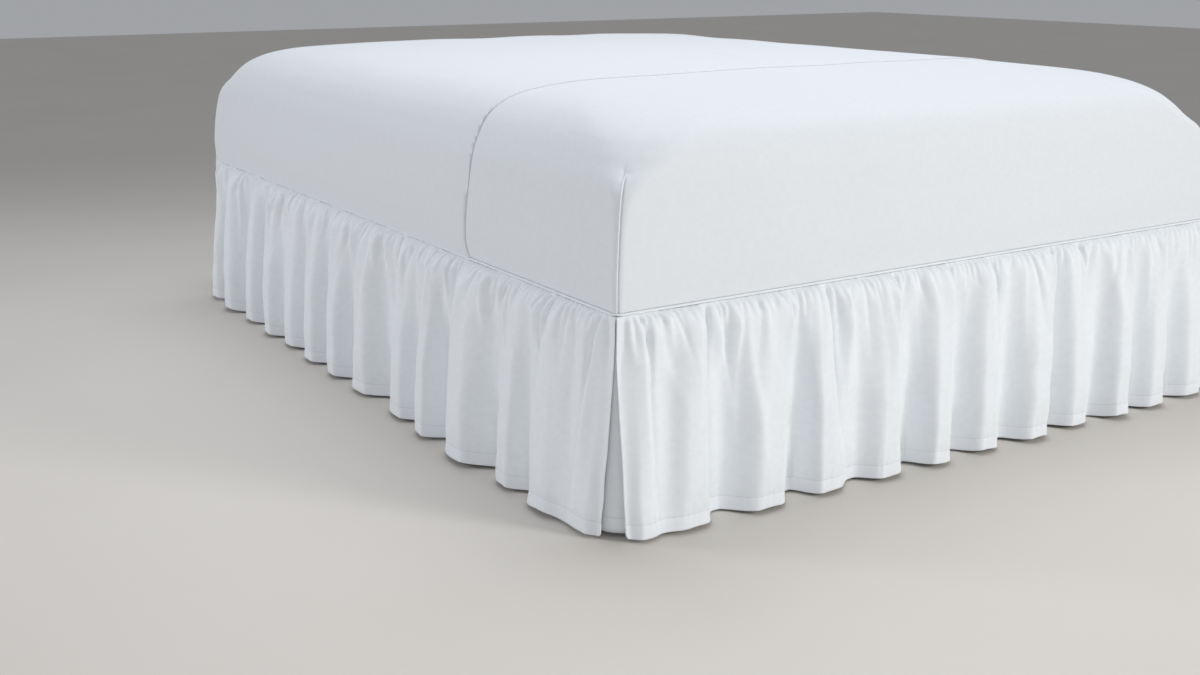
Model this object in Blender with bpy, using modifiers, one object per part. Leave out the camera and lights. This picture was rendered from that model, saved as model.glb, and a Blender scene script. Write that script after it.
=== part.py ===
"""A queen bed dressed in a gathered bed skirt with split corners.

The skirt is a flat deck of cloth lying on the box spring, a piped seam along
its two sides and its foot, three gathered ruffles that hang from that seam
almost to the floor, and a flat underlay behind the split at each foot corner.
The box spring on its legs and the mattress are plain, and hold the skirt.

Metres, +Z up. The origin is on the floor, under the middle of the whole
object. The foot of the bed faces -Y and its open head end faces +Y.
"""

import math
from typing import NamedTuple

import bmesh
import bpy
import numpy as np


class Finish(NamedTuple):
    """The look of a piece: its material's name, colour, roughness and metallic value."""

    name: str
    colour: tuple
    roughness: float
    metallic: float = 0.0


class Fold(NamedTuple):
    """One fold of a hem: how far along the bed to its ridge, how far out the ridge
    stands, how far along to the next valley, how far out that stands, and how much
    further along its ridge is at the seam than at the hem."""

    rise: float
    ridge: float
    fall: float
    valley: float
    drift: float


class Section(NamedTuple):
    """One level of the mattress: height above its underside, how far its walls
    stand in from the bed's edge, and the radius of its corners there."""

    height: float
    inset: float
    corner: float


COTTON = Finish("white cotton", (0.83, 0.85, 0.87), 0.75)
SHEETING = Finish("white sheeting", (0.80, 0.82, 0.86), 0.65)
TICKING = Finish("grey ticking", (0.62, 0.62, 0.63), 0.85)
BEECH = Finish("dark stained beech", (0.10, 0.07, 0.05), 0.5)

# Driving sizes: a queen mattress is 60 x 80 inches, and the skirt drops 15 inches.
BED_WIDTH = 1.524
BED_LENGTH = 2.032
SKIRT_DROP = 0.381
GAP = 0.0003

# A ruffle stands out past the foot and none past the head, so the bed lies this far headwards.
BED_SHIFT = 0.036
LEFT_X = -BED_WIDTH / 2
RIGHT_X = BED_WIDTH / 2
FOOT_Y = BED_SHIFT - BED_LENGTH / 2
HEAD_Y = BED_SHIFT + BED_LENGTH / 2

# Levels, from the floor up to the mattress.
LEG_HEIGHT = 0.150
DECK_THICKNESS = 0.002
DECK_TOP = SKIRT_DROP
DECK_BOTTOM = DECK_TOP - DECK_THICKNESS
BASE_BOTTOM = LEG_HEIGHT + GAP
BASE_TOP = DECK_BOTTOM - GAP
MATTRESS_BOTTOM = DECK_TOP + GAP

# Box spring and its tapered round legs.
BASE_CORNER_RADIUS = 0.040
BASE_CORNER_STEPS = 6
BASE_EDGE_RADIUS = 0.006
LEG_TOP_RADIUS = 0.030
LEG_FOOT_RADIUS = 0.024
LEG_INSET = 0.095
LEG_SIDES = 24

# Deck, and the piping sewn round its edge. The piping ends are cut flush with the head end.
DECK_CORNER_RADIUS = 0.012
DECK_CORNER_STEPS = 5
PIPING_RADIUS = 0.0026
PIPING_OUT = PIPING_RADIUS + GAP
PIPING_LEVEL = DECK_TOP - PIPING_RADIUS
PIPING_CORNER_RADIUS = DECK_CORNER_RADIUS + PIPING_OUT

# Ruffles: the cloth, and the grid that its folds are shaped on.
CLOTH_THICKNESS = 0.0016
CLOTH_CLEARANCE = 0.0050
RUFFLE_TOP = PIPING_LEVEL - PIPING_RADIUS - GAP
HEM_ABOVE_FLOOR = 0.004
RUFFLE_LENGTH = RUFFLE_TOP - HEM_ABOVE_FLOOR
COLUMN_SPACING = 0.012
ROWS = 6
ROW_CROWDING = 1.8

# How a fold opens on its way down. It climbs early from the valley on its corner side, and
# drops behind its ridge. The drop is short high up, and widens towards the hem.
OPENING_POWER = 0.7
CLIMB_SHARE = 0.64
DROP_AT_SEAM = 0.22
DROP_WIDENING = 0.68
DRIFT_POWER = 1.4
CREST_LEAN = 0.018
CREST_LEAN_DEPTH = 0.080

# The grid's columns are even at the seam, and follow the folds from this share of the drop.
FOLLOW_FROM = 0.25
HEM_SAMPLES = 2000

# A panel's loose end falls in a plain slant, within this distance of the split.
LOOSE_END = 0.055
SLANT_POWER = 1.45

# Gathers at the seam. They fill out just below it, and fade into the folds further down.
GATHER_COLUMNS = (1.0, 0.12, 0.0)
GATHER_STRENGTHS = (0.9, 0.65, 1.1, 0.8, 1.0, 0.55)
GATHER_AT_SEAM = 0.0015
GATHER_FULL = 0.011
GATHER_FULL_DEPTH = 0.040
GATHER_FADE = 0.060

# Flat underlay behind each split corner.
UNDERLAY_REACH = 0.095
UNDERLAY_THICKNESS = 0.0014
UNDERLAY_CLEARANCE = 0.0020
UNDERLAY_FLARE = 0.020
UNDERLAY_FLARE_POWER = 1.7
UNDERLAY_SHORTER = 0.004
UNDERLAY_CORNER_STEPS = 6
UNDERLAY_ROWS = 4

MATTRESS_CORNER_STEPS = 7

# The folds that the left side and the foot show, counted from the split corner between them.
SIDE_EDGE_OUT = 0.030
SIDE_FOLDS = (
    Fold(0.036, 0.047, 0.056, 0.044, 0.000),
    Fold(0.072, 0.061, 0.072, 0.023, 0.027),
    Fold(0.054, 0.057, 0.074, 0.014, 0.004),
    Fold(0.091, 0.073, 0.107, 0.016, 0.052),
    Fold(0.052, 0.068, 0.072, 0.018, 0.010),
    Fold(0.054, 0.058, 0.124, 0.006, 0.030),
    Fold(0.080, 0.058, 0.088, 0.014, 0.030),
    Fold(0.062, 0.062, 0.070, 0.010, 0.030),
)
FOOT_EDGE_OUT = 0.030
FOOT_FOLDS = (
    Fold(0.034, 0.045, 0.028, 0.041, 0.014),
    Fold(0.068, 0.055, 0.072, 0.002, 0.036),
    Fold(0.090, 0.058, 0.074, 0.002, 0.055),
    Fold(0.054, 0.055, 0.080, 0.022, 0.006),
    Fold(0.066, 0.060, 0.072, 0.006, 0.030),
)

# Folds of the same cloth for the stretches out of sight, taken in turn.
FURTHER_FOLDS = (
    Fold(0.068, 0.062, 0.070, 0.012, 0.030),
    Fold(0.074, 0.056, 0.063, 0.026, 0.012),
    Fold(0.057, 0.064, 0.078, 0.006, 0.044),
    Fold(0.070, 0.058, 0.066, 0.014, 0.020),
    Fold(0.078, 0.067, 0.072, 0.008, 0.052),
    Fold(0.068, 0.055, 0.070, 0.016, 0.008),
    Fold(0.060, 0.066, 0.060, 0.020, 0.036),
)

MATTRESS_SECTIONS = (
    Section(0.000, 0.003, 0.010),
    Section(0.005, -0.001, 0.012),
    Section(0.022, -0.004, 0.015),
    Section(0.055, -0.005, 0.017),
    Section(0.107, 0.000, 0.018),
    Section(0.150, 0.006, 0.022),
    Section(0.182, 0.011, 0.032),
    Section(0.203, 0.016, 0.056),
    Section(0.222, 0.023, 0.088),
    Section(0.245, 0.034, 0.112),
    Section(0.266, 0.050, 0.130),
    Section(0.283, 0.073, 0.148),
    Section(0.295, 0.100, 0.168),
    Section(0.304, 0.135, 0.192),
    Section(0.311, 0.190, 0.235),
    Section(0.316, 0.280, 0.300),
    Section(0.318, 0.400, 0.340),
)


def clear_scene():
    for item in list(bpy.data.objects):
        bpy.data.objects.remove(item)


def make_material(owner, finish):
    material = bpy.data.materials.new(f"{owner} {finish.name}")
    material.use_nodes = True
    shader = material.node_tree.nodes["Principled BSDF"]
    shader.inputs["Base Color"].default_value = (*finish.colour, 1.0)
    shader.inputs["Roughness"].default_value = finish.roughness
    shader.inputs["Metallic"].default_value = finish.metallic
    return material


def add_object(name, data, finish):
    item = bpy.data.objects.new(name, data)
    item.data.materials.append(make_material(name, finish))
    bpy.data.collections["bed_skirt"].objects.link(item)
    return item


def add_mesh_object(name, shape, finish):
    mesh = bpy.data.meshes.new(name)
    shape.to_mesh(mesh)
    shape.free()
    return add_object(name, mesh, finish)


def add_cloth(name, shape, thickness):
    """A sheet of cotton with its thickness to both sides of the shape."""
    bmesh.ops.recalc_face_normals(shape, faces=shape.faces)
    item = add_mesh_object(name, shape, COTTON)
    cloth = item.modifiers.new("cloth", "SOLIDIFY")
    cloth.thickness = thickness
    cloth.offset = 0.0
    item.data.shade_smooth()


def quarter_turn(centre, radius, start, steps):
    """Points of a quarter circle, anticlockwise from its start angle in degrees."""
    angles = [math.radians(start + 90 * step / steps) for step in range(steps + 1)]
    return [(centre[0] + radius * math.cos(a), centre[1] + radius * math.sin(a)) for a in angles]


def rounded_rectangle(low, high, radius, steps):
    """Points round a rectangle with round corners, anticlockwise from above."""
    left, right = low[0] + radius, high[0] - radius
    front, back = low[1] + radius, high[1] - radius
    return [
        *quarter_turn((right, front), radius, -90, steps),
        *quarter_turn((right, back), radius, 0, steps),
        *quarter_turn((left, back), radius, 90, steps),
        *quarter_turn((left, front), radius, 180, steps),
    ]


def make_legs():
    """A leg in each corner of the box spring, and one halfway along each of its sides."""
    across = RIGHT_X - LEG_INSET
    along = {"foot": FOOT_Y + LEG_INSET, "middle": BED_SHIFT, "head": HEAD_Y - LEG_INSET}
    for side, x in (("left", -across), ("right", across)):
        for place, y in along.items():
            leg = bmesh.new()
            bmesh.ops.create_cone(
                leg,
                cap_ends=True,
                segments=LEG_SIDES,
                radius1=LEG_FOOT_RADIUS,
                radius2=LEG_TOP_RADIUS,
                depth=LEG_HEIGHT,
            )
            item = add_mesh_object(f"leg_{side}_{place}", leg, BEECH)
            item.location = (x, y, LEG_HEIGHT / 2)
            item.data.shade_smooth()
            item.data.set_sharp_from_angle(angle=math.radians(40))


def make_box_spring():
    """A plain upholstered box with round upright corners and softened edges."""
    height = BASE_TOP - BASE_BOTTOM
    box = bmesh.new()
    bmesh.ops.create_cube(box, size=1.0)
    bmesh.ops.scale(box, vec=(BED_WIDTH, BED_LENGTH, height), verts=box.verts)
    upright = [edge for edge in box.edges if edge.calc_length() < height * 1.01]
    bmesh.ops.bevel(
        box,
        geom=upright,
        offset=BASE_CORNER_RADIUS,
        segments=BASE_CORNER_STEPS,
        profile=0.5,
        affect="EDGES",
    )
    item = add_mesh_object("box_spring", box, TICKING)
    item.location = (0, BED_SHIFT, (BASE_TOP + BASE_BOTTOM) / 2)
    soften = item.modifiers.new("soft edges", "BEVEL")
    soften.width = BASE_EDGE_RADIUS
    soften.segments = 2
    soften.limit_method = "ANGLE"
    soften.angle_limit = math.radians(60)


def make_deck():
    """The flat cloth that lies between the box spring and the mattress."""
    outline = bpy.data.curves.new("deck", "CURVE")
    outline.dimensions = "2D"
    outline.fill_mode = "BOTH"
    outline.extrude = DECK_THICKNESS / 2
    low, high = (LEFT_X, FOOT_Y), (RIGHT_X, HEAD_Y)
    points = rounded_rectangle(low, high, DECK_CORNER_RADIUS, DECK_CORNER_STEPS)
    edge = outline.splines.new("POLY")
    edge.points.add(len(points) - 1)
    for point, (x, y) in zip(edge.points, points):
        point.co = (x, y, 0, 1)
    edge.use_cyclic_u = True
    item = add_object("deck", outline, COTTON)
    item.location.z = (DECK_TOP + DECK_BOTTOM) / 2


def make_piping():
    """The covered cord in the seam, from the head end round the foot and back."""
    left, right, foot = LEFT_X - PIPING_OUT, RIGHT_X + PIPING_OUT, FOOT_Y - PIPING_OUT
    radius = PIPING_CORNER_RADIUS
    route = [
        (left, HEAD_Y),
        *quarter_turn((left + radius, foot + radius), radius, 180, DECK_CORNER_STEPS),
        *quarter_turn((right - radius, foot + radius), radius, 270, DECK_CORNER_STEPS),
        (right, HEAD_Y),
    ]
    line = bpy.data.curves.new("piping", "CURVE")
    line.dimensions = "3D"
    line.bevel_depth = PIPING_RADIUS
    line.bevel_resolution = 2
    line.use_fill_caps = True
    spline = line.splines.new("POLY")
    spline.points.add(len(route) - 1)
    for point, (x, y) in zip(spline.points, route):
        point.co = (x, y, PIPING_LEVEL, 1)
    add_object("piping", line, COTTON)


def whole_side(shown, length, first_further):
    """The shown folds, then further ones in turn, which are evened out to end with the side."""
    left_over = length - sum(fold.rise + fold.fall for fold in shown)
    typical = sum(fold.rise + fold.fall for fold in FURTHER_FOLDS) / len(FURTHER_FOLDS)
    count = round(left_over / typical)
    further = [FURTHER_FOLDS[(first_further + i) % len(FURTHER_FOLDS)] for i in range(count)]
    share = left_over / sum(fold.rise + fold.fall for fold in further)
    return [*shown, *(f._replace(rise=f.rise * share, fall=f.fall * share) for f in further)]


def fold_lines(down, folds, edge_out):
    """Where each fold's lines run along the bed at a share of the way down, and how far
    out each stands: the end of its climb, its ridge, the foot of its drop, its valley."""
    places = [0.0]
    outs = [edge_out]
    for fold in folds:
        start = places[-1]
        lean = CREST_LEAN * math.exp(-down / CREST_LEAN_DEPTH)
        ridge = start + fold.rise + fold.drift * (1 - down) ** DRIFT_POWER - lean
        drop = fold.fall * (DROP_AT_SEAM + DROP_WIDENING * down**2)
        climbed = start + (ridge - start) * CLIMB_SHARE
        places += [climbed, ridge, ridge + drop, start + fold.rise + fold.fall]
        outs += [fold.ridge, fold.ridge, fold.valley, fold.valley]
    outs[-2:] = [edge_out, edge_out]
    return np.array(places), np.array(outs)


def wave_out(along, places, outs):
    """How far out the cloth stands at each place, as a wave that eases from line to line."""
    index = np.clip(np.searchsorted(places, along, side="right") - 1, 0, len(places) - 2)
    share = (along - places[index]) / (places[index + 1] - places[index])
    ease = (1 - np.cos(math.pi * np.clip(share, 0, 1))) / 2
    return outs[index] + (outs[index + 1] - outs[index]) * ease


def hem_columns(length, columns, places, outs):
    """Where the columns end along the bed, so that they are even along the winding hem."""
    along = np.linspace(0.0, length, HEM_SAMPLES)
    steps = np.hypot(np.diff(along), np.diff(wave_out(along, places, outs)))
    travelled = np.concatenate(([0.0], np.cumsum(steps)))
    return np.interp(np.linspace(0.0, travelled[-1], columns + 1), travelled, along)


def fold_opening(down, to_end):
    """The share of its hem's shape that a fold has at a share of the way down.

    A fold swings out fast under the gathers, and little near the hem. A loose end
    hangs in a plain slant.
    """
    fold = math.sin(math.pi / 2 * down) ** OPENING_POWER
    looseness = math.exp(-((to_end / LOOSE_END) ** 2))
    return fold + (down**SLANT_POWER - fold) * looseness


def gather_size(depth):
    """How far out a gather stands at a depth below the seam."""
    if depth <= GATHER_FULL_DEPTH:
        return GATHER_AT_SEAM + (GATHER_FULL - GATHER_AT_SEAM) * depth / GATHER_FULL_DEPTH
    return GATHER_FULL * math.exp(-(((depth - GATHER_FULL_DEPTH) / GATHER_FADE) ** 2))


def gather_pattern(columns):
    """The strength of the gather at each column."""
    column = np.arange(columns + 1)
    shape = np.array(GATHER_COLUMNS)[column % len(GATHER_COLUMNS)]
    strength = np.array(GATHER_STRENGTHS)[column // len(GATHER_COLUMNS) % len(GATHER_STRENGTHS)]
    return shape * strength


def make_ruffle(name, length, folds, edge_out, place):
    """One gathered panel. place turns (along, out, level) into a point of the bed."""
    columns = round(length / COLUMN_SPACING)
    gathers = gather_pattern(columns)
    seam = np.linspace(0.0, length, columns + 1)
    hem_places, hem_outs = fold_lines(1.0, folds, edge_out)
    hem = hem_columns(length, columns, hem_places, hem_outs)
    cloth = bmesh.new()
    bmesh.ops.create_grid(cloth, x_segments=columns, y_segments=ROWS, size=0.5)
    for vertex in cloth.verts:
        column = round((vertex.co.x + 0.5) * columns)
        down = (0.5 - vertex.co.y) ** ROW_CROWDING
        places, outs = fold_lines(down, folds, edge_out)
        following = np.interp(hem[column], hem_places, places)
        along = seam[column] + (following - seam[column]) * min(1.0, down / FOLLOW_FROM)
        out = fold_opening(down, min(along, length - along)) * wave_out(along, places, outs)
        out += gather_size(down * RUFFLE_LENGTH) * gathers[column]
        level = RUFFLE_TOP - down * math.sqrt(RUFFLE_LENGTH**2 - out**2)
        vertex.co = place(along, CLOTH_CLEARANCE + out, level)
    add_cloth(name, cloth, CLOTH_THICKNESS)


def left_place(along, out, level):
    return (LEFT_X - out, FOOT_Y + along, level)


def right_place(along, out, level):
    return (RIGHT_X + out, FOOT_Y + along, level)


def foot_place(along, out, level):
    return (LEFT_X + along, FOOT_Y - out, level)


def make_ruffles():
    left = whole_side(SIDE_FOLDS, BED_LENGTH, 0)
    foot = whole_side(FOOT_FOLDS, BED_WIDTH, 2)
    right = whole_side(SIDE_FOLDS[:1], BED_LENGTH, 4)
    make_ruffle("ruffle_left", BED_LENGTH, left, SIDE_EDGE_OUT, left_place)
    make_ruffle("ruffle_foot", BED_WIDTH, foot, FOOT_EDGE_OUT, foot_place)
    make_ruffle("ruffle_right", BED_LENGTH, right, SIDE_EDGE_OUT, right_place)


def underlay_route(down):
    """Points round the left foot corner, at a share of the way down the underlay.

    It follows the deck's crisp corner at the seam, and the box spring's round one below.
    """
    out = UNDERLAY_CLEARANCE + UNDERLAY_THICKNESS / 2 + UNDERLAY_FLARE * down**UNDERLAY_FLARE_POWER
    corner = DECK_CORNER_RADIUS + (BASE_CORNER_RADIUS - DECK_CORNER_RADIUS) * down
    centre = (LEFT_X + corner, FOOT_Y + corner)
    return [
        (LEFT_X - out, FOOT_Y + UNDERLAY_REACH),
        *quarter_turn(centre, corner + out, 180, UNDERLAY_CORNER_STEPS),
        (LEFT_X + UNDERLAY_REACH, FOOT_Y - out),
    ]


def make_underlays():
    """The flat pieces that close the view through the split corners."""
    columns = UNDERLAY_CORNER_STEPS + 2
    for name, side in (("underlay_left", 1), ("underlay_right", -1)):
        cloth = bmesh.new()
        bmesh.ops.create_grid(cloth, x_segments=columns, y_segments=UNDERLAY_ROWS, size=0.5)
        for vertex in cloth.verts:
            down = 0.5 - vertex.co.y
            x, y = underlay_route(down)[round((vertex.co.x + 0.5) * columns)]
            vertex.co = (side * x, y, RUFFLE_TOP - down * (RUFFLE_LENGTH - UNDERLAY_SHORTER))
        add_cloth(name, cloth, UNDERLAY_THICKNESS)


def make_mattress():
    """A lofted stack of rounded rectangles, with full sides and a crowned top."""
    body = bmesh.new()
    rings = []
    for section in MATTRESS_SECTIONS:
        low = (LEFT_X + section.inset, FOOT_Y + section.inset)
        high = (RIGHT_X - section.inset, HEAD_Y - section.inset)
        outline = rounded_rectangle(low, high, section.corner, MATTRESS_CORNER_STEPS)
        level = MATTRESS_BOTTOM + section.height
        ring = [body.verts.new((x, y, level)) for x, y in outline]
        rings.append([body.edges.new((a, b)) for a, b in zip(ring, ring[1:] + ring[:1])])
    for lower, upper in zip(rings, rings[1:]):
        bmesh.ops.bridge_loops(body, edges=lower + upper)
    for cap in (rings[0], rings[-1]):
        bmesh.ops.contextual_create(body, geom=cap)
    bmesh.ops.recalc_face_normals(body, faces=body.faces)
    item = add_mesh_object("mattress", body, SHEETING)
    item.data.shade_smooth()


def main():
    clear_scene()
    collection = bpy.data.collections.new("bed_skirt")
    bpy.context.scene.collection.children.link(collection)
    make_legs()
    make_box_spring()
    make_deck()
    make_piping()
    make_ruffles()
    make_underlays()
    make_mattress()


main()
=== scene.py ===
# %% [markdown]
# # A gathered bed skirt on a queen bed
# A bed skirt hides the box spring and what is stored under a bed. A maker sews three
# gathered ruffles to a flat deck of cloth, with a thin piping in the seam, and slips the
# deck between the box spring and the mattress. This lesson starts from plain solids that
# already have the real sizes. Step by step it hangs fine cloth where they are, and gives
# every surface the finish of its real material.

import math
from typing import NamedTuple

import bmesh
import bpy
import numpy as np
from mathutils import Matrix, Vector


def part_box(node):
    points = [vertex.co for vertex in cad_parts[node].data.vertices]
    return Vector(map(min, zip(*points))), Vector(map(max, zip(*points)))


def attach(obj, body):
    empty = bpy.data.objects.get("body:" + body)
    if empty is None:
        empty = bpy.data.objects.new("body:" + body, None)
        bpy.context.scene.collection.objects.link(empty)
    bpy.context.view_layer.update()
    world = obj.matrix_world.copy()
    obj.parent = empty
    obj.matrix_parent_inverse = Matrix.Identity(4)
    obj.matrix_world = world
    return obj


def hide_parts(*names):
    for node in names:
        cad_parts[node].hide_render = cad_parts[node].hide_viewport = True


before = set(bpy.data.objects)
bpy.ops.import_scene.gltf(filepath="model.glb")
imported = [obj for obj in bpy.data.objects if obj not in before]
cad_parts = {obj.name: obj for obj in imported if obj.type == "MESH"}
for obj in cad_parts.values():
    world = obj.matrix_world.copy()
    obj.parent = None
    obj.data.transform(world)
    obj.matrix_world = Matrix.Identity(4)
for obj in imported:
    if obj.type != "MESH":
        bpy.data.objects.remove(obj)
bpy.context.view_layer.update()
print("solids:", ", ".join(sorted(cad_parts)))

# %% [markdown]
# ## Measures
# All sizes are metres, and +Z is up. The deck's box gives the bed's edges, and the piping's
# box gives the seam's level. The ruffles hang from just under the piping to just above the
# floor, and that drop is what the eye reads first.

# %% Take the bed's measures from the solids
deck_low, deck_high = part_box("deck")
LEFT_X, RIGHT_X = deck_low.x, deck_high.x
FOOT_Y, HEAD_Y = deck_low.y, deck_high.y
BED_WIDTH = RIGHT_X - LEFT_X
BED_LENGTH = HEAD_Y - FOOT_Y
piping_low, piping_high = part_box("piping")
PIPING_RADIUS = (piping_high.z - piping_low.z) / 2
PIPING_OUT = LEFT_X - piping_low.x - PIPING_RADIUS
PIPING_LEVEL = (piping_low.z + piping_high.z) / 2
GAP = 0.0003
SEAM_LEVEL = piping_low.z - GAP
HEM_LEVEL = 0.004
DROP = SEAM_LEVEL - HEM_LEVEL
print(f"bed {BED_WIDTH:.3f} x {BED_LENGTH:.3f} m, ruffle drop {DROP:.3f} m")

# %% [markdown]
# ## Camera
# The camera stands off the near left corner of the foot, a little higher than the mattress,
# and looks slightly down. It comes first, so that every later step can be judged from the
# same place.

# %% Place the camera
CAMERA_FROM_CORNER = Vector((-1.158, -1.766, 0.935))
CAMERA_DOWN = 15.69
CAMERA_TURN = 32.54
camera_data = bpy.data.cameras.new("camera")
camera_data.lens = 41.22
camera_data.sensor_width = 36.0
camera = bpy.data.objects.new("camera", camera_data)
camera.location = Vector((LEFT_X, FOOT_Y, 0.0)) + CAMERA_FROM_CORNER
camera.rotation_euler = (math.radians(90 - CAMERA_DOWN), 0.0, math.radians(-CAMERA_TURN))
bpy.context.scene.collection.objects.link(camera)
bpy.context.scene.camera = camera
print("camera at", [round(value, 3) for value in camera.location])

# %% [markdown]
# ## Helpers
# A colour is written as an sRGB hex value, as a colour picker shows it, and the shader wants
# linear light. One small function adds a node, sets it up and links it, so that each
# material below reads as a short recipe. Another puts a new object into the scene.

# %% Define the helpers
# A wave texture of scale 1 repeats every pi / 10, so this over a real pitch is its scale.
WAVE_REPEAT = math.pi / 10
# The colour sockets of a mix node come after its number and vector sockets.
MIX_FACTOR, MIX_A, MIX_B, MIX_RESULT = 0, 6, 7, 2


def linear(hex_colour):
    """An sRGB hex colour as linear RGBA."""
    channels = [int(hex_colour[i : i + 2], 16) / 255 for i in (1, 3, 5)]
    return (*(c / 12.92 if c <= 0.04045 else ((c + 0.055) / 1.055) ** 2.4 for c in channels), 1.0)


def add(tree, kind, inputs=None, **settings):
    """A new node with its settings made, and its inputs linked or set."""
    node = tree.nodes.new(kind)
    for name, value in settings.items():
        setattr(node, name, value)
    for name, value in (inputs or {}).items():
        if isinstance(value, bpy.types.NodeSocket):
            tree.links.new(value, node.inputs[name])
        else:
            node.inputs[name].default_value = value
    return node


def show(name, data):
    """A new object in the scene that shows the data."""
    item = bpy.data.objects.new(name, data)
    bpy.context.scene.collection.objects.link(item)
    return item


def start_material(name, roughness, **sockets):
    """A material's tree and shader, with the shader's constants set on its own sockets."""
    material = bpy.data.materials.new(name)
    material.use_nodes = True
    shader = material.node_tree.nodes["Principled BSDF"]
    shader.inputs["Roughness"].default_value = roughness
    for socket, value in sockets.items():
        shader.inputs[socket.replace("_", " ")].default_value = value
    return material, material.node_tree, shader


print("helpers ready")

# %% [markdown]
# ## Plain-weave cloth
# Every cloth here is a plain weave: threads that pass over and under each other at right
# angles. Two wave textures draw them, and the higher of the two at each point is the thread
# on top. Real threads lie 0.3 mm apart, too fine for a picture of a whole bed, so the weave
# is drawn four to five times as coarse. A slow noise adds the soft creases that cloth keeps
# from being folded and handled, and a finer one the uneven thickness of spun thread. A
# cloth's threads are given as their pitch and depth, and the size and depth of its creases.


# %% Define a woven surface
def weave(tree, shader, place, pitch, thread_depth, crease_size, crease_depth):
    """Links a weave and soft creases to the shader's normal. Returns the thread noise."""
    scale = WAVE_REPEAT / pitch
    threads = [
        add(
            tree,
            "ShaderNodeTexWave",
            {"Vector": place, "Scale": scale, "Distortion": 0.5, "Detail Scale": 2.0},
            bands_direction=direction,
        )
        for direction in ("X", "Y")
    ]
    warp, weft = (thread.outputs["Fac"] for thread in threads)
    top = add(tree, "ShaderNodeMath", {0: warp, 1: weft}, operation="MAXIMUM")
    slubs = add(tree, "ShaderNodeTexNoise", {"Vector": place, "Scale": 0.12 / pitch, "Detail": 3.0})
    height = add(tree, "ShaderNodeMath", {0: top.outputs[0], 1: slubs.outputs["Fac"]})
    thread_bump = add(
        tree, "ShaderNodeBump", {"Height": height.outputs[0], "Strength": 0.6, "Distance": thread_depth}
    )
    creases = add(
        tree,
        "ShaderNodeTexNoise",
        {"Vector": place, "Scale": 1 / crease_size, "Detail": 2.0, "Distortion": 0.7},
    )
    crease_bump = add(
        tree,
        "ShaderNodeBump",
        {
            "Height": creases.outputs["Fac"],
            "Strength": 0.7,
            "Distance": crease_depth,
            "Normal": thread_bump.outputs["Normal"],
        },
    )
    tree.links.new(crease_bump.outputs["Normal"], shader.inputs["Normal"])
    return slubs.outputs["Fac"]


print("a weave repeats every", round(WAVE_REPEAT, 3), "at scale 1")

# %% [markdown]
# ## Skirt cotton
# The skirt is a bleached cotton, matt from washing, with the faint down that gives cotton its
# sheen at grazing angles. The eye also reads its hem: three layers let less light through
# than one, so their tone is more even, and along the row of stitches a fine grey line is
# painted in as the shade of their groove. The cloth's own UV map is in metres, across the
# cloth and up from its hem, so that weave and hem follow every fold.

# %% Make the skirt cotton
HEM_HEIGHT = 0.025
STITCH_LINE = 0.0005
SKIRT_THREAD = 0.0016
SKIRT_THREADS = (SKIRT_THREAD, 0.00008, 0.045, 0.0006)
SKIRT_WHITE = linear("#EFF3F7")
SKIRT_SHADE = linear("#E4E9EE")
HEM_WHITE = linear("#EAEEF3")
# Painted shade: a grey that stands for the shadow in the groove of the hem's stitches.
STITCH_GROOVE_PAINTED_SHADE = linear("#D9DCE0")

skirt_cotton, tree, shader = start_material(
    "cotton plain weave, bleached", 0.85, Sheen_Weight=0.15, Sheen_Roughness=0.5, Specular_IOR_Level=0.25
)
place = add(tree, "ShaderNodeUVMap", uv_map="cloth").outputs["UV"]
thread_noise = weave(tree, shader, place, *SKIRT_THREADS)
tone = add(
    tree,
    "ShaderNodeMix",
    {MIX_FACTOR: thread_noise, MIX_A: SKIRT_SHADE, MIX_B: SKIRT_WHITE},
    data_type="RGBA",
)
above_hem = add(tree, "ShaderNodeSeparateXYZ", {"Vector": place}).outputs["Y"]
in_hem = add(tree, "ShaderNodeMath", {0: above_hem, 1: HEM_HEIGHT}, operation="LESS_THAN")
on_line = add(
    tree, "ShaderNodeMath", {0: above_hem, 1: HEM_HEIGHT, 2: STITCH_LINE}, operation="COMPARE"
)
# The hem takes its even tone, and the stitch line takes the painted shade of its groove.
for where, colour in ((in_hem, HEM_WHITE), (on_line, STITCH_GROOVE_PAINTED_SHADE)):
    colours = {MIX_FACTOR: where.outputs[0], MIX_A: tone.outputs[MIX_RESULT], MIX_B: colour}
    tone = add(tree, "ShaderNodeMix", colours, data_type="RGBA")
tree.links.new(tone.outputs[MIX_RESULT], shader.inputs["Base Color"])
print("skirt cotton has", len(tree.nodes), "nodes")

# %% [markdown]
# ## Cotton of the deck and the piping
# The deck and the piping are cut from the same cotton. They have no hem, and the deck is
# still the plain solid, which has no UV map, so here the weave lies on Object coordinates.


# %% Make the deck cotton
def flat_cloth(name, roughness, deep, light, threads, **sockets):
    """A woven cloth on Object coordinates, between two tones, as its threads are."""
    cloth, tree, shader = start_material(name, roughness, **sockets)
    place = add(tree, "ShaderNodeTexCoord").outputs["Object"]
    colours = {MIX_FACTOR: weave(tree, shader, place, *threads), MIX_A: deep, MIX_B: light}
    tone = add(tree, "ShaderNodeMix", colours, data_type="RGBA")
    tree.links.new(tone.outputs[MIX_RESULT], shader.inputs["Base Color"])
    print(name, "has", len(tree.nodes), "nodes")
    return cloth


DECK_THREADS = (SKIRT_THREAD, 0.00016, 0.045, 0.0006)
deck_cotton = flat_cloth(
    "cotton plain weave, bleached, flat",
    0.85,
    SKIRT_SHADE,
    SKIRT_WHITE,
    DECK_THREADS,
    Sheen_Weight=0.15,
    Specular_IOR_Level=0.25,
)

# %% [markdown]
# ## Bed sheeting
# The sheets are percale, a cotton with finer and tighter threads than the skirt's, so they
# look smoother and a little cooler. They are ironed by being stretched, and only long soft
# creases stay.

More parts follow.
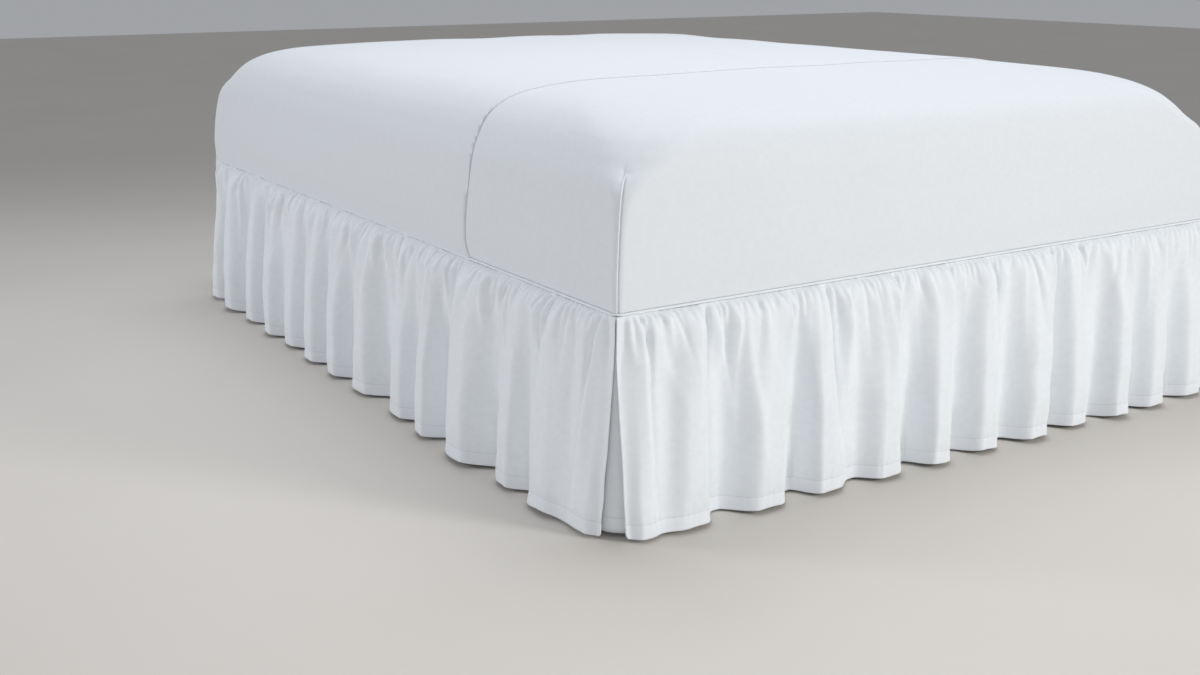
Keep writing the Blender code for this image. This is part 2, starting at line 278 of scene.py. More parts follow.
# %% Make the sheeting
SHEETING_THREADS = (0.0013, 0.00003, 0.13, 0.0008)
sheeting = flat_cloth(
    "percale cotton sheeting",
    0.7,
    linear("#DDE2E7"),
    linear("#E5E9ED"),
    SHEETING_THREADS,
    Sheen_Weight=0.1,
    Sheen_Roughness=0.4,
    Specular_IOR_Level=0.3,
)

# %% [markdown]
# ## Ticking
# A box spring is covered in ticking, a stout close twill in a plain grey. Twill shows as fine
# diagonal ribs, 1 mm apart on heavy ticking and drawn here at 3 mm. The grooves between the
# ribs are painted darker as shade, and slow patches vary the tone.

# %% Make the ticking
TICKING_RIB = 0.003
TICKING_LIGHT = linear("#BDBEC0")
TICKING_DEEP_AND_GROOVE_SHADE = linear("#A3A4A7")
ticking, tree, shader = start_material("cotton ticking, twill woven", 0.9, Specular_IOR_Level=0.2)
place = add(tree, "ShaderNodeTexCoord").outputs["Object"]
ribs = add(
    tree,
    "ShaderNodeTexWave",
    {"Vector": place, "Scale": WAVE_REPEAT / TICKING_RIB, "Distortion": 0.6},
    bands_direction="DIAGONAL",
)
patches = add(tree, "ShaderNodeTexNoise", {"Vector": place, "Scale": 60.0, "Detail": 4.0})
rib_bump = add(
    tree, "ShaderNodeBump", {"Height": ribs.outputs["Fac"], "Strength": 0.7, "Distance": 0.0004}
)
tree.links.new(rib_bump.outputs["Normal"], shader.inputs["Normal"])
# Painted shade in the rib grooves, times an uneven tone in patches.
shade = add(
    tree, "ShaderNodeMath", {0: ribs.outputs["Fac"], 1: patches.outputs["Fac"]}, operation="MULTIPLY"
)
tone = add(
    tree,
    "ShaderNodeMix",
    {MIX_FACTOR: shade.outputs[0], MIX_A: TICKING_DEEP_AND_GROOVE_SHADE, MIX_B: TICKING_LIGHT},
    data_type="RGBA",
)
tree.links.new(tone.outputs[MIX_RESULT], shader.inputs["Base Color"])
print("ticking has", len(tree.nodes), "nodes")

# %% [markdown]
# ## Stained beech
# The legs are turned beech with a dark stain and a satin lacquer. The stain sinks deeper into
# the soft early wood, so darker streaks run up the leg about 4 mm apart. Stretching the noise
# along Z gives the streaks their length, and the lacquer gives a soft highlight.

# %% Make the stained beech
BEECH_LIGHT = linear("#5A4030")
BEECH_DEEP = linear("#33231A")
GRAIN_STRETCH = Vector((1.0, 1.0, 0.07))
beech, tree, shader = start_material(
    "beech, dark stain, satin lacquer", 0.45, Coat_Weight=0.3, Coat_Roughness=0.25
)
place = add(tree, "ShaderNodeTexCoord").outputs["Object"]
stretched = add(tree, "ShaderNodeMapping", {"Vector": place, "Scale": GRAIN_STRETCH})
streaks = add(
    tree,
    "ShaderNodeTexNoise",
    {"Vector": stretched.outputs["Vector"], "Scale": 250.0, "Detail": 5.0, "Distortion": 0.3},
)
tone = add(
    tree,
    "ShaderNodeMix",
    {MIX_FACTOR: streaks.outputs["Fac"], MIX_A: BEECH_DEEP, MIX_B: BEECH_LIGHT},
    data_type="RGBA",
)
tree.links.new(tone.outputs[MIX_RESULT], shader.inputs["Base Color"])
pores = add(
    tree, "ShaderNodeBump", {"Height": streaks.outputs["Fac"], "Strength": 0.4, "Distance": 0.0002}
)
tree.links.new(pores.outputs["Normal"], shader.inputs["Normal"])
print("beech has", len(tree.nodes), "nodes")

# %% [markdown]
# ## Sewing thread
# The thread is the same white cotton, spun tight, so it is smoother than the cloth and
# catches a little more light. A fine noise stands for its twist.


# %% Make the thread
def mottled(name, roughness, deep, light, scale, detail, **sockets):
    """A finish that wavers between two tones, as a noise on Object coordinates does."""
    finish, tree, shader = start_material(name, roughness, **sockets)
    place = add(tree, "ShaderNodeTexCoord").outputs["Object"]
    noise = add(tree, "ShaderNodeTexNoise", {"Vector": place, "Scale": scale, "Detail": detail})
    colours = {MIX_FACTOR: noise.outputs["Fac"], MIX_A: deep, MIX_B: light}
    tone = add(tree, "ShaderNodeMix", colours, data_type="RGBA")
    tree.links.new(tone.outputs[MIX_RESULT], shader.inputs["Base Color"])
    print(name, "has", len(tree.nodes), "nodes")
    return finish


THREAD_DEEP = linear("#C9CCD0")
THREAD_LIGHT = linear("#E6E8EA")
THREAD_TWIST = 900.0
thread = mottled(
    "cotton thread, spun and twisted", 0.6, THREAD_DEEP, THREAD_LIGHT, THREAD_TWIST, 2.0, Sheen_Weight=0.1
)

# %% [markdown]
# ## The folds of each ruffle
# Gathered cloth falls in folds, and no two are alike. Each row of a table is one fold: how
# far along the bed its ridge is, how far out the ridge stands at the hem, how far along the
# next valley is, and how far out that stands. The last column is its drift, how much further
# along its ridge is at the seam than at the hem. The first rows are the folds that show near
# the split corner. The rest are of the same cloth, taken in turn, and evened out so that they
# end with the side.


# %% Write down the folds
class Fold(NamedTuple):
    """One fold of a hem, from the valley before it to the valley after it."""

    rise: float
    ridge: float
    fall: float
    valley: float
    drift: float


SIDE_EDGE_OUT = 0.030
SIDE_FOLDS = (
    Fold(0.036, 0.047, 0.056, 0.044, 0.000),
    Fold(0.072, 0.061, 0.072, 0.023, 0.027),
    Fold(0.054, 0.057, 0.074, 0.014, 0.004),
    Fold(0.091, 0.073, 0.107, 0.016, 0.052),
    Fold(0.052, 0.068, 0.072, 0.018, 0.010),
    Fold(0.054, 0.058, 0.124, 0.006, 0.030),
    Fold(0.080, 0.058, 0.088, 0.014, 0.030),
    Fold(0.062, 0.062, 0.070, 0.010, 0.030),
)
FOOT_EDGE_OUT = 0.030
FOOT_FOLDS = (
    Fold(0.034, 0.045, 0.028, 0.041, 0.014),
    Fold(0.068, 0.055, 0.072, 0.002, 0.036),
    Fold(0.090, 0.058, 0.074, 0.002, 0.055),
    Fold(0.054, 0.055, 0.080, 0.022, 0.006),
    Fold(0.066, 0.060, 0.072, 0.006, 0.030),
)
FURTHER_FOLDS = (
    Fold(0.068, 0.062, 0.070, 0.012, 0.030),
    Fold(0.074, 0.056, 0.063, 0.026, 0.012),
    Fold(0.057, 0.064, 0.078, 0.006, 0.044),
    Fold(0.070, 0.058, 0.066, 0.014, 0.020),
    Fold(0.078, 0.067, 0.072, 0.008, 0.052),
    Fold(0.068, 0.055, 0.070, 0.016, 0.008),
    Fold(0.060, 0.066, 0.060, 0.020, 0.036),
)


def whole_side(shown, length, first_further):
    """The shown folds, then further ones in turn, evened out to end with the side."""
    left_over = length - sum(fold.rise + fold.fall for fold in shown)
    typical = sum(fold.rise + fold.fall for fold in FURTHER_FOLDS) / len(FURTHER_FOLDS)
    count = round(left_over / typical)
    further = [FURTHER_FOLDS[(first_further + i) % len(FURTHER_FOLDS)] for i in range(count)]
    share = left_over / sum(fold.rise + fold.fall for fold in further)
    return [*shown, *(f._replace(rise=f.rise * share, fall=f.fall * share) for f in further)]


left_folds = whole_side(SIDE_FOLDS, BED_LENGTH, 0)
foot_folds = whole_side(FOOT_FOLDS, BED_WIDTH, 2)
right_folds = whole_side(SIDE_FOLDS[:1], BED_LENGTH, 4)
print("folds:", len(left_folds), "left,", len(foot_folds), "foot,", len(right_folds), "right")

# %% [markdown]
# ## How a fold opens on its way down
# Under the gathers the folds swing out fast, and near the hem they hang almost straight. The
# loose end at a split corner has no neighbour to hold it, so it falls in a plain slant. A
# fold also leans: it climbs quickly out of the valley on the corner's side, rounds over its
# ridge, and drops behind it into the next valley. High up that drop is short and close behind
# the ridge, so each ridge runs as a crisp line almost up to the seam. The cloth is longer
# across than the seam, so its threads fan out on the flanks: columns of the grid start evenly
# at the seam, and end evenly along the winding hem.

# %% Define the falling folds
LOOSE_END = 0.055
SLANT_POWER = 1.45
OPENING_POWER = 0.7
CLIMB_SHARE = 0.64
DROP_LATENESS = 1.5
DRIFT_POWER = 1.4
CREST_LEAN = 0.018
CREST_LEAN_DEPTH = 0.080
DROP_AT_SEAM = 0.22
DROP_WIDENING = 0.68
HEM_SAMPLES = 4000


def bell(share):
    """A soft bump: 1 in its middle, and almost nothing at two widths from it."""
    return np.exp(-(share**2))


def fold_opening(down, to_end):
    """The share of its hem's shape that a fold has at a share of the way down."""
    fold = np.sin(math.pi / 2 * down) ** OPENING_POWER
    looseness = bell(to_end / LOOSE_END)
    return fold + (down**SLANT_POWER - fold) * looseness


def fold_shape(along, down, folds, edge_out):
    """How far out each point stands once its folds are open, and how far behind a drop it is."""
    rises, ridges, falls, valleys, drifts = np.array(folds).T
    valleys[-1] = edge_out
    starts = np.concatenate(([0.0], np.cumsum(rises + falls)[:-1]))
    before = np.concatenate(([edge_out], valleys[:-1]))
    fold = np.clip(np.searchsorted(starts, along, side="right") - 1, 0, len(folds) - 1)
    start, low, high, valley = starts[fold], before[fold], ridges[fold], valleys[fold]
    drift = drifts[fold] * (1 - down) ** DRIFT_POWER - CREST_LEAN * np.exp(-down / CREST_LEAN_DEPTH)
    crest = start + rises[fold] + drift
    drop = falls[fold] * (DROP_AT_SEAM + DROP_WIDENING * down**2)
    climb = (crest - start) * CLIMB_SHARE
    climbed = (1 - np.cos(math.pi * np.clip((along - start) / climb, 0, 1))) / 2
    dropped = (1 - np.cos(math.pi * np.clip((along - crest) / drop, 0, 1) ** DROP_LATENESS)) / 2
    out = np.where(along < crest, low + (high - low) * climbed, high + (valley - high) * dropped)
    return out, along - crest - drop


def hem_columns(length, folds, edge_out, count):
    """Where evenly spaced columns of cloth end along the hem, and how long the hem is."""
    along = np.linspace(0.0, length, HEM_SAMPLES)
    out, _ = fold_shape(along, 1.0, folds, edge_out)
    steps = np.hypot(np.diff(along), np.diff(out))
    travelled = np.concatenate(([0.0], np.cumsum(steps)))
    shares = np.linspace(0.0, 1.0, count + 1) * travelled[-1]
    return np.interp(shares, travelled, along), travelled[-1]


print("a fold is", round(float(fold_opening(0.5, 1.0)), 2), "open halfway down")

# %% [markdown]
# ## Gathers
# A gathering thread draws the cloth together at the seam, and leaves a row of little pleats:
# puffs with sharp pinches between them. Short pinches end within two fingers' width, others
# run on and merge into the folds below. Each pinch is one trough with its own place, length,
# depth and lean, drawn with a fixed seed. About one in five is a long one.

# %% Define the pinches
PINCH_PITCH = (0.009, 0.017)
PINCH_LENGTHS = ((0.020, 0.045), (0.050, 0.100), (0.110, 0.230))
PINCH_SHARES = (0.45, 0.33, 0.22)
PINCH_DEPTH = (0.0045, 0.0105)
PINCH_AT_SEAM = 0.50
PINCH_FULL_DEPTH = 0.009
PINCH_WIDTH_AT_SEAM = 0.0028
PINCH_WIDENING = 0.085
PINCH_LEAN = 0.16
PINCH_FADE = 0.8
PINCH_ROUND = 0.05
PINCH_LIFT = 0.22


def spaced(rng, length, pitch):
    """Uneven places along a length, a random pitch apart."""
    count = int(length / np.mean(pitch))
    steps = rng.uniform(*pitch, count)
    return np.cumsum(steps) * length / steps.sum()


def rise(depth, full):
    """A smooth start, from 0 at the seam to 1 at a full depth."""
    share = np.clip(depth / full, 0, 1)
    return share * share * (3 - 2 * share)


def pinches(rng, along, depth, length):
    """The troughs of the gathers, as a depth into the cloth at each grid point."""
    trough = np.zeros_like(along)
    for place in spaced(rng, length, PINCH_PITCH):
        reach = rng.uniform(*PINCH_LENGTHS[rng.choice(len(PINCH_SHARES), p=PINCH_SHARES)])
        deepest = rng.uniform(*PINCH_DEPTH)
        lean = rng.normal(0.0, PINCH_LEAN)
        width = PINCH_WIDTH_AT_SEAM + PINCH_WIDENING * depth
        distance = np.abs(along - place - lean * depth) / width
        fade = np.clip(1 - depth / reach, 0, 1) ** PINCH_FADE
        strength = (PINCH_AT_SEAM + (1 - PINCH_AT_SEAM) * rise(depth, PINCH_FULL_DEPTH)) * fade
        trough += deepest * strength * np.exp(-np.sqrt(distance**2 + PINCH_ROUND) + PINCH_LIFT)
    return trough


print("pinches", PINCH_PITCH[0] * 1000, "to", PINCH_PITCH[1] * 1000, "mm apart")

# %% [markdown]
# Between the seam and the folds the puffs join into soft ribs, 34 to 60 mm apart. Each is
# gentle on one side and steep behind, like the folds that it runs into, and fades with depth.

# %% Define the ribs
RIB_PITCH = (0.034, 0.060)
RIB_OUT = (0.003, 0.009)
RIB_NEAR_WIDTH = (0.012, 0.022)
RIB_FAR_WIDTH = (0.007, 0.012)
RIB_START = 0.035
RIB_LENGTH = (0.060, 0.200)
RIB_LEAN = 0.09


def ribs_below(rng, along, depth, length):
    """Soft ribs that carry the puffs into the folds, gentle on one side and steep behind."""
    out = np.zeros_like(along)
    for place in spaced(rng, length, RIB_PITCH):
        reach = rng.uniform(*RIB_LENGTH)
        lean = rng.normal(0.0, RIB_LEAN)
        near, far = rng.uniform(*RIB_NEAR_WIDTH), rng.uniform(*RIB_FAR_WIDTH)
        distance = along - place - lean * depth
        distance = distance / np.where(distance < 0, near, far)
        below = np.clip((depth - RIB_START) / reach, 0, None)
        envelope = rise(depth, RIB_START) * np.exp(-(below**2) * 2)
        out += rng.uniform(*RIB_OUT) * envelope * bell(distance)
    return out


print("ribs", RIB_PITCH[0] * 1000, "to", RIB_PITCH[1] * 1000, "mm apart")

# %% [markdown]
# The creases that the eye picks out are placed one by one. Each is a soft ridge or trough, with
# a width on its near side and one on its far side.

# %% Place the creases
CREASE_FADE = 0.45


class Crease(NamedTuple):
    """A ridge, or a trough if it goes inwards: its places along, and where it is full and ends."""

    top: float
    bottom: float
    full: float
    end: float
    out: float
    near: float
    far: float


FOOT_CREASES = (
    Crease(0.050, 0.020, 0.040, 0.450, 0.0060, 0.020, 0.020),
    Crease(0.094, 0.076, 0.060, 0.400, -0.0095, 0.022, 0.018),
    Crease(0.018, 0.026, 0.012, 0.090, 0.0040, 0.008, 0.007),
    Crease(0.088, 0.096, 0.012, 0.080, 0.0050, 0.010, 0.007),
    Crease(0.206, 0.202, 0.015, 0.110, 0.0055, 0.012, 0.009),
    Crease(0.240, 0.266, 0.040, 0.330, 0.0085, 0.022, 0.012),
    Crease(0.218, 0.222, 0.120, 0.250, 0.0025, 0.010, 0.008),
    Crease(0.344, 0.346, 0.015, 0.090, 0.0060, 0.010, 0.007),
    Crease(0.372, 0.384, 0.015, 0.090, 0.0040, 0.010, 0.008),
    Crease(0.484, 0.470, 0.030, 0.260, 0.0085, 0.020, 0.010),
)
SIDE_CREASES = (
    Crease(0.100, 0.072, 0.060, 0.450, -0.0060, 0.018, 0.014),
    Crease(0.060, 0.044, 0.050, 0.330, 0.0050, 0.018, 0.010),
    Crease(0.225, 0.205, 0.020, 0.140, 0.0090, 0.016, 0.009),
    Crease(0.350, 0.330, 0.020, 0.200, 0.0100, 0.020, 0.010),
    Crease(0.410, 0.395, 0.020, 0.130, 0.0080, 0.016, 0.009),
    Crease(0.560, 0.545, 0.020, 0.170, 0.0100, 0.018, 0.010),
    Crease(0.680, 0.672, 0.020, 0.120, 0.0080, 0.016, 0.009),
    Crease(0.850, 0.835, 0.020, 0.200, 0.0100, 0.020, 0.010),
    Crease(0.900, 0.890, 0.020, 0.110, 0.0080, 0.016, 0.009),
    Crease(1.030, 1.015, 0.020, 0.160, 0.0100, 0.018, 0.010),
)


def creased(creases, along, depth):
    """How far a table of creases moves each point out."""
    out = np.zeros_like(along)
    for crease in creases:
        travelled = np.clip(depth / min(crease.end, DROP), 0, 1)
        distance = along - crease.top - (crease.bottom - crease.top) * travelled
        distance = distance / np.where(distance < 0, crease.near, crease.far)
        fading = rise(crease.end - depth, crease.end * CREASE_FADE)
        out += crease.out * rise(depth, crease.full) * fading * bell(distance)
    return out


print("creases:", len(FOOT_CREASES), "at the foot,", len(SIDE_CREASES), "on the left side")

# %% [markdown]
# Cloth is never quite even. A few waves in random directions, added up, give a slow
# unevenness that doesn't repeat. The ruffles, the underlays and the mattress all use it.

# %% Define the unevenness
UNEVEN_WAVES = 7


def unevenness(rng, pitch, *axes):
    """A soft random surface of height about 1, made of a few waves of about one pitch."""
    total = 0.0
    for _ in range(UNEVEN_WAVES):
        direction = rng.normal(size=len(axes))
        direction /= np.linalg.norm(direction)
        wavelength = pitch * rng.uniform(0.7, 1.7)
        phase = rng.uniform(0, 2 * math.pi)
        travel = sum(part * axis for part, axis in zip(direction, axes))
        total = total + np.sin(2 * math.pi * travel / wavelength + phase)
    return total / math.sqrt(UNEVEN_WAVES)


print("unevenness is the sum of", UNEVEN_WAVES, "waves")

# %% [markdown]
# ## Sheets of cloth from a grid
# Every cloth here is a grid of points, with rows across and columns down. One helper turns
# the grid into quads, gives them the UV map in metres, and thickens them inwards, so that
# the outer face stays exactly where it was shaped. A weight for each point makes the hem,
# three layers, thicker than the rest.


# %% Define the cloth helper
def quads_of(rows, columns):
    """The corners of each quad of a grid whose points run along its rows."""
    start = (np.arange(rows)[:, None] * (columns + 1) + np.arange(columns)).ravel()
    return np.stack([start, start + columns + 1, start + columns + 2, start + 1], axis=1)


def make_sheet(name, points, uv, weights, thickness, material, flip=False):
    """A thickened sheet from a grid of points, its UV map and its thickness weights."""
    rows, columns = points.shape[0] - 1, points.shape[1] - 1
    quads = quads_of(rows, columns)
    if flip:
        quads = quads[:, ::-1]
    mesh = bpy.data.meshes.new(name)
    mesh.from_pydata(points.reshape(-1, 3).tolist(), [], quads.tolist())
    layer = mesh.uv_layers.new(name="cloth")
    layer.data.foreach_set("uv", uv.reshape(-1, 2)[quads.ravel()].ravel())
    mesh.materials.append(material)
    mesh.shade_smooth()
    sheet = show(name, mesh)
    group = sheet.vertex_groups.new(name="layers")
    for weight in np.unique(weights):
        group.add(np.flatnonzero(weights.ravel() == weight).tolist(), float(weight), "REPLACE")
    cloth = sheet.modifiers.new("cloth", "SOLIDIFY")
    cloth.thickness = thickness
    cloth.offset = -1.0
    cloth.vertex_group = "layers"
    return sheet


ROW_APART = 0.004


def rows_down(count, crowding, *extra):
    """Depths from the seam to the hem as shares, crowded at the seam, with extra rows added."""
    even = np.linspace(0.0, 1.0, count + 1) ** crowding
    near = np.min(np.abs(even[:, None] - np.array(extra)), axis=1)
    kept = even[(near > ROW_APART) | (even == 0.0) | (even == 1.0)]
    return np.unique(np.concatenate([kept, extra]))


print("a grid of 2 by 2 quads:", quads_of(2, 2).tolist()[:2], "...")

# %% [markdown]
# ## The ruffles
# Each ruffle is one gathered panel, hemmed along its lower edge. Its outer face is the sum
# of the slow folds, the ribs, the puffs and the pinches. The hem's stitches pull the cloth
# in a little and pucker it along their line. The three panels are split at the foot
# corners so that the skirt goes past the legs of a bed frame. At the seam their ends meet,
# and the corners of their hems are turned a little round.

# %% Set how the seam holds a ruffle
PUFF_OUT = 0.0090
PUFF_DEPTH = 0.009
PUFF_LENGTH = 0.070
CREST_PINCH = 0.0080
CREST_PINCH_WIDTH = 0.0050
CREST_PINCH_LENGTH = 0.20
HELD_REACH = 0.022
PINCH_STOP = 0.0010
SEAM_TUCK = 0.0024
SEAM_TUCK_DEPTH = 0.003
print("the puffs stand", PUFF_OUT * 1000, "mm out under the seam")

# %% [markdown]
# One function adds all of this up for a panel laid out straight: how far along each point is,
# how far out it stands, and at what level. Once a point stands out, it also hangs a little
# higher, since the cloth keeps its length.

# %% Define a ruffle
RUFFLE_OUT = 0.0058
CLOTH_THICKNESS = 0.0018
SINGLE_LAYER = 0.5
RUFFLE_COLUMN = 0.0021
RUFFLE_ROWS = 42
ROW_CROWDING = 1.6
LINE_SHARE = 1 - HEM_HEIGHT / DROP
LINE_HALF = 0.0016 / DROP
LINE_ROWS = (LINE_SHARE - LINE_HALF, LINE_SHARE, LINE_SHARE + LINE_HALF)
EDGE_SHARE = 0.002 / DROP
STITCH_SINK = 0.0007
PUCKER_PITCH = 0.010
PUCKER_OUT = 0.0004
PUCKER_SPAN = 8
WANDER_PITCH = 0.10
WANDER_OUT = 0.0016
HEM_WAVER = 0.0010
HEM_CORNER = 0.0070
SPLIT_REACH = 0.0032
SPLIT_FADE = 0.020


def ruffle_points(seed, length, folds, edge_out, creases):
    """(along, out, level) of a ruffle's grid points, its UV map and its hem's length."""
    rng = np.random.default_rng(seed)
    columns = round(length / RUFFLE_COLUMN)
    ends, hem_length = hem_columns(length, folds, edge_out, columns)
    down = rows_down(RUFFLE_ROWS, ROW_CROWDING, *LINE_ROWS, 1 - EDGE_SHARE)[:, None]
    depth = down * DROP + np.zeros((1, columns + 1))
    seam = np.linspace(0.0, length, columns + 1)[None, :] + 0 * down
    opened = fold_opening(down, 1.0)
    along = seam + (ends[None, :] - seam) * opened
    along -= SPLIT_REACH * (np.exp(-seam / SPLIT_FADE) - np.exp(-(length - seam) / SPLIT_FADE))
    shape, behind = fold_shape(along, down, folds, edge_out)
    out = fold_opening(down, np.minimum(along, length - along)) * shape
    held = 1 - bell(np.minimum(seam, length - seam) / HELD_REACH)
    near_seam = bell(np.clip(depth - PUFF_DEPTH, 0, None) / PUFF_LENGTH)
    out += PUFF_OUT * rise(depth, PUFF_DEPTH) * near_seam * held
    out += ribs_below(rng, seam, depth, length) * held
    out += creased(creases, along, depth)
    crest_pinch = CREST_PINCH * rise(depth, PINCH_FULL_DEPTH) * bell(depth / CREST_PINCH_LENGTH)
    trough = pinches(rng, seam, depth, length)
    trough += crest_pinch * bell(behind / CREST_PINCH_WIDTH)
    out -= np.minimum(trough, out + PINCH_STOP)
    out += WANDER_OUT * down * unevenness(rng, WANDER_PITCH, along, depth)
    out -= SEAM_TUCK * np.exp(-depth / SEAM_TUCK_DEPTH)
    on_line = bell((down - LINE_SHARE) / LINE_HALF)
    across = np.linspace(0.0, hem_length, columns + 1)[None, :]
    near_hem = bell((down - LINE_SHARE) / (PUCKER_SPAN * LINE_HALF))
    out += PUCKER_OUT * unevenness(rng, PUCKER_PITCH, across) * near_hem - STITCH_SINK * on_line
    hanging = np.sqrt(DROP**2 - np.clip(out, 0, None) ** 2)
    level = SEAM_LEVEL - down * hanging + HEM_WAVER * down**3 * unevenness(rng, WANDER_PITCH, along)
    to_edge = np.clip(np.minimum(across, hem_length - across), 0, HEM_CORNER)
    arc = HEM_CORNER - np.sqrt(HEM_CORNER**2 - (HEM_CORNER - to_edge) ** 2)
    level += arc * np.clip(1 - (DROP - depth) / HEM_HEIGHT, 0, 1)
    uv = np.stack([across + 0 * depth, DROP - depth], axis=-1)
    return along, RUFFLE_OUT + out, level, uv, hem_length


print("hem line at", round(LINE_SHARE, 3), "of the drop")

# %% [markdown]
# The same panel hangs on each side of the bed. Only the directions that along and out point
# in differ.


# %% Turn a ruffle to its side
def left_place(along, out, level):
    return np.stack([LEFT_X - out, FOOT_Y + along, level], axis=-1)


def foot_place(along, out, level):
    return np.stack([LEFT_X + along, FOOT_Y - out, level], axis=-1)


def right_place(along, out, level):
    return np.stack([RIGHT_X + out, FOOT_Y + along, level], axis=-1)


print("the left seam starts at", left_place(0.0, 0.0, SEAM_LEVEL).round(3).tolist())

# %% [markdown]
# Hanging the three panels now takes one line each. Its UV map makes a panel as wide as its hem
# is long and as high as the drop; cut flat, the cloth is longer by the hem's two turns.

# %% Hang the ruffles
hemmed = {}
for side, seed, length, folds, edge_out, creases, where in (
    ("left", 11, BED_LENGTH, left_folds, SIDE_EDGE_OUT, SIDE_CREASES, left_place),
    ("foot", 23, BED_WIDTH, foot_folds, FOOT_EDGE_OUT, FOOT_CREASES, foot_place),
    ("right", 37, BED_LENGTH, right_folds, SIDE_EDGE_OUT, SIDE_CREASES[4:], right_place),
):
    along, out, level, uv, hem_length = ruffle_points(seed, length, folds, edge_out, creases)
    points = where(along, out, level)
    layers = np.where(uv[..., 1] < HEM_HEIGHT, 1.0, SINGLE_LAYER)
    ruffle = make_sheet(
        f"ruffle_{side}_cloth", points, uv, layers, CLOTH_THICKNESS, skirt_cotton, flip=side == "left"
    )
    hemmed[f"ruffle_{side}"] = points
    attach(ruffle, "root")
    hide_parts(f"ruffle_{side}")
    print(f"ruffle {side}: {len(ruffle.data.polygons)} quads, hem {hem_length:.2f} m long")

# %% [markdown]
# ## The flat pieces behind the split corners
# Behind each split hangs an underlay, a flat piece sewn into the same seam, so that the split
# never shows the box spring. It goes round the corner close to the box spring, is hemmed like
# the ruffles, and hangs a little shorter than they do.

# %% Hang the underlays
UNDERLAY_REACH = 0.095
UNDERLAY_OUT = 0.0026
UNDERLAY_FLARE = 0.022
UNDERLAY_FLARE_POWER = 1.7
UNDERLAY_SHORTER = 0.004
UNDERLAY_THICKNESS = 0.0014
UNDERLAY_SEAM_CORNER = 0.012
UNDERLAY_HEM_CORNER = 0.040
UNDERLAY_COLUMNS = 110
UNDERLAY_ROWS = 40
UNDERLAY_WAVER = 0.0009
UNDERLAY_PITCH = 0.055


def round_corner(travel, corner, reach):
    """Where a path round a corner is after each distance, as (in along the foot, in along the side)."""
    arc = corner * math.pi / 2
    straight = reach - corner
    angle = np.clip((travel - straight) / corner, 0, math.pi / 2)
    inward_side = corner - corner * np.sin(angle) + np.clip(straight - travel, 0, None)
    inward_foot = corner - corner * np.cos(angle) + np.clip(travel - straight - arc, 0, None)
    return inward_foot, inward_side, angle


for side, sign in (("left", 1), ("right", -1)):
    rng = np.random.default_rng(51 + sign)
    down = rows_down(UNDERLAY_ROWS, 1.0, *LINE_ROWS)[:, None]
    height = DROP - UNDERLAY_SHORTER
    corner = UNDERLAY_SEAM_CORNER + (UNDERLAY_HEM_CORNER - UNDERLAY_SEAM_CORNER) * down
    whole = 2 * (UNDERLAY_REACH - corner) + corner * math.pi / 2
    travel = np.linspace(0.0, 1.0, UNDERLAY_COLUMNS + 1)[None, :] * whole
    inward_foot, inward_side, angle = round_corner(travel, corner, UNDERLAY_REACH)
    waver = UNDERLAY_WAVER * (unevenness(rng, UNDERLAY_PITCH, travel, down * height) * down + 1)
    sink = STITCH_SINK * bell((down - LINE_SHARE) / LINE_HALF)
    proud = UNDERLAY_OUT + UNDERLAY_FLARE * down**UNDERLAY_FLARE_POWER + waver - UNDERLAY_WAVER - sink
    x = LEFT_X + inward_foot - proud * np.cos(angle)
    y = FOOT_Y + inward_side - proud * np.sin(angle)
    points = np.stack([sign * x, y, SEAM_LEVEL - down * height + 0 * x], axis=-1)
    uv = np.stack([travel, (1 - down) * height + 0 * travel], axis=-1)
    layers = np.where(uv[..., 1] < HEM_HEIGHT, 1.0, SINGLE_LAYER)
    underlay = make_sheet(
        f"underlay_{side}_cloth", points, uv, layers, UNDERLAY_THICKNESS, skirt_cotton, flip=side == "right"
    )
    hemmed[f"underlay_{side}"] = points
    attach(underlay, "root")
    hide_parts(f"underlay_{side}")
    print(f"underlay {side}: {len(underlay.data.polygons)} quads")

# %% [markdown]
# ## Rows of stitches
# A lockstitch shows on the face as a row of short straight stitches with a needle hole
# between them. That is one shape repeated along a path, so Geometry Nodes make it: the path
# becomes a curve, the curve is cut at the stitch pitch, each point gets a small bead of
# thread that lies along the path, and the beads are realized. The sizes are named inputs of
# the tree, so the same tree could sew any hem.


# %% Build the stitching tree
def start_tree(name, **inputs):
    """A Geometry Nodes tree with geometry in and out, and the given named inputs."""
    tree = bpy.data.node_groups.new(name, "GeometryNodeTree")
    tree.interface.new_socket("Geometry", in_out="INPUT", socket_type="NodeSocketGeometry")
    tree.interface.new_socket("Geometry", in_out="OUTPUT", socket_type="NodeSocketGeometry")
    for label, kind in inputs.items():
        tree.interface.new_socket(label, in_out="INPUT", socket_type=f"NodeSocket{kind}")
    return tree, add(tree, "NodeGroupInput").outputs


def end_tree(tree, geometry, material):
    """Realizes, smooths and paints the geometry, and links it to the tree's output."""
    real = add(tree, "GeometryNodeRealizeInstances", {"Geometry": geometry})
    smooth = add(tree, "GeometryNodeSetShadeSmooth", {"Geometry": real.outputs["Geometry"]})
    painted = add(
        tree, "GeometryNodeSetMaterial", {"Geometry": smooth.outputs["Geometry"], "Material": material}
    )
    add(tree, "NodeGroupOutput", {"Geometry": painted.outputs["Geometry"]})


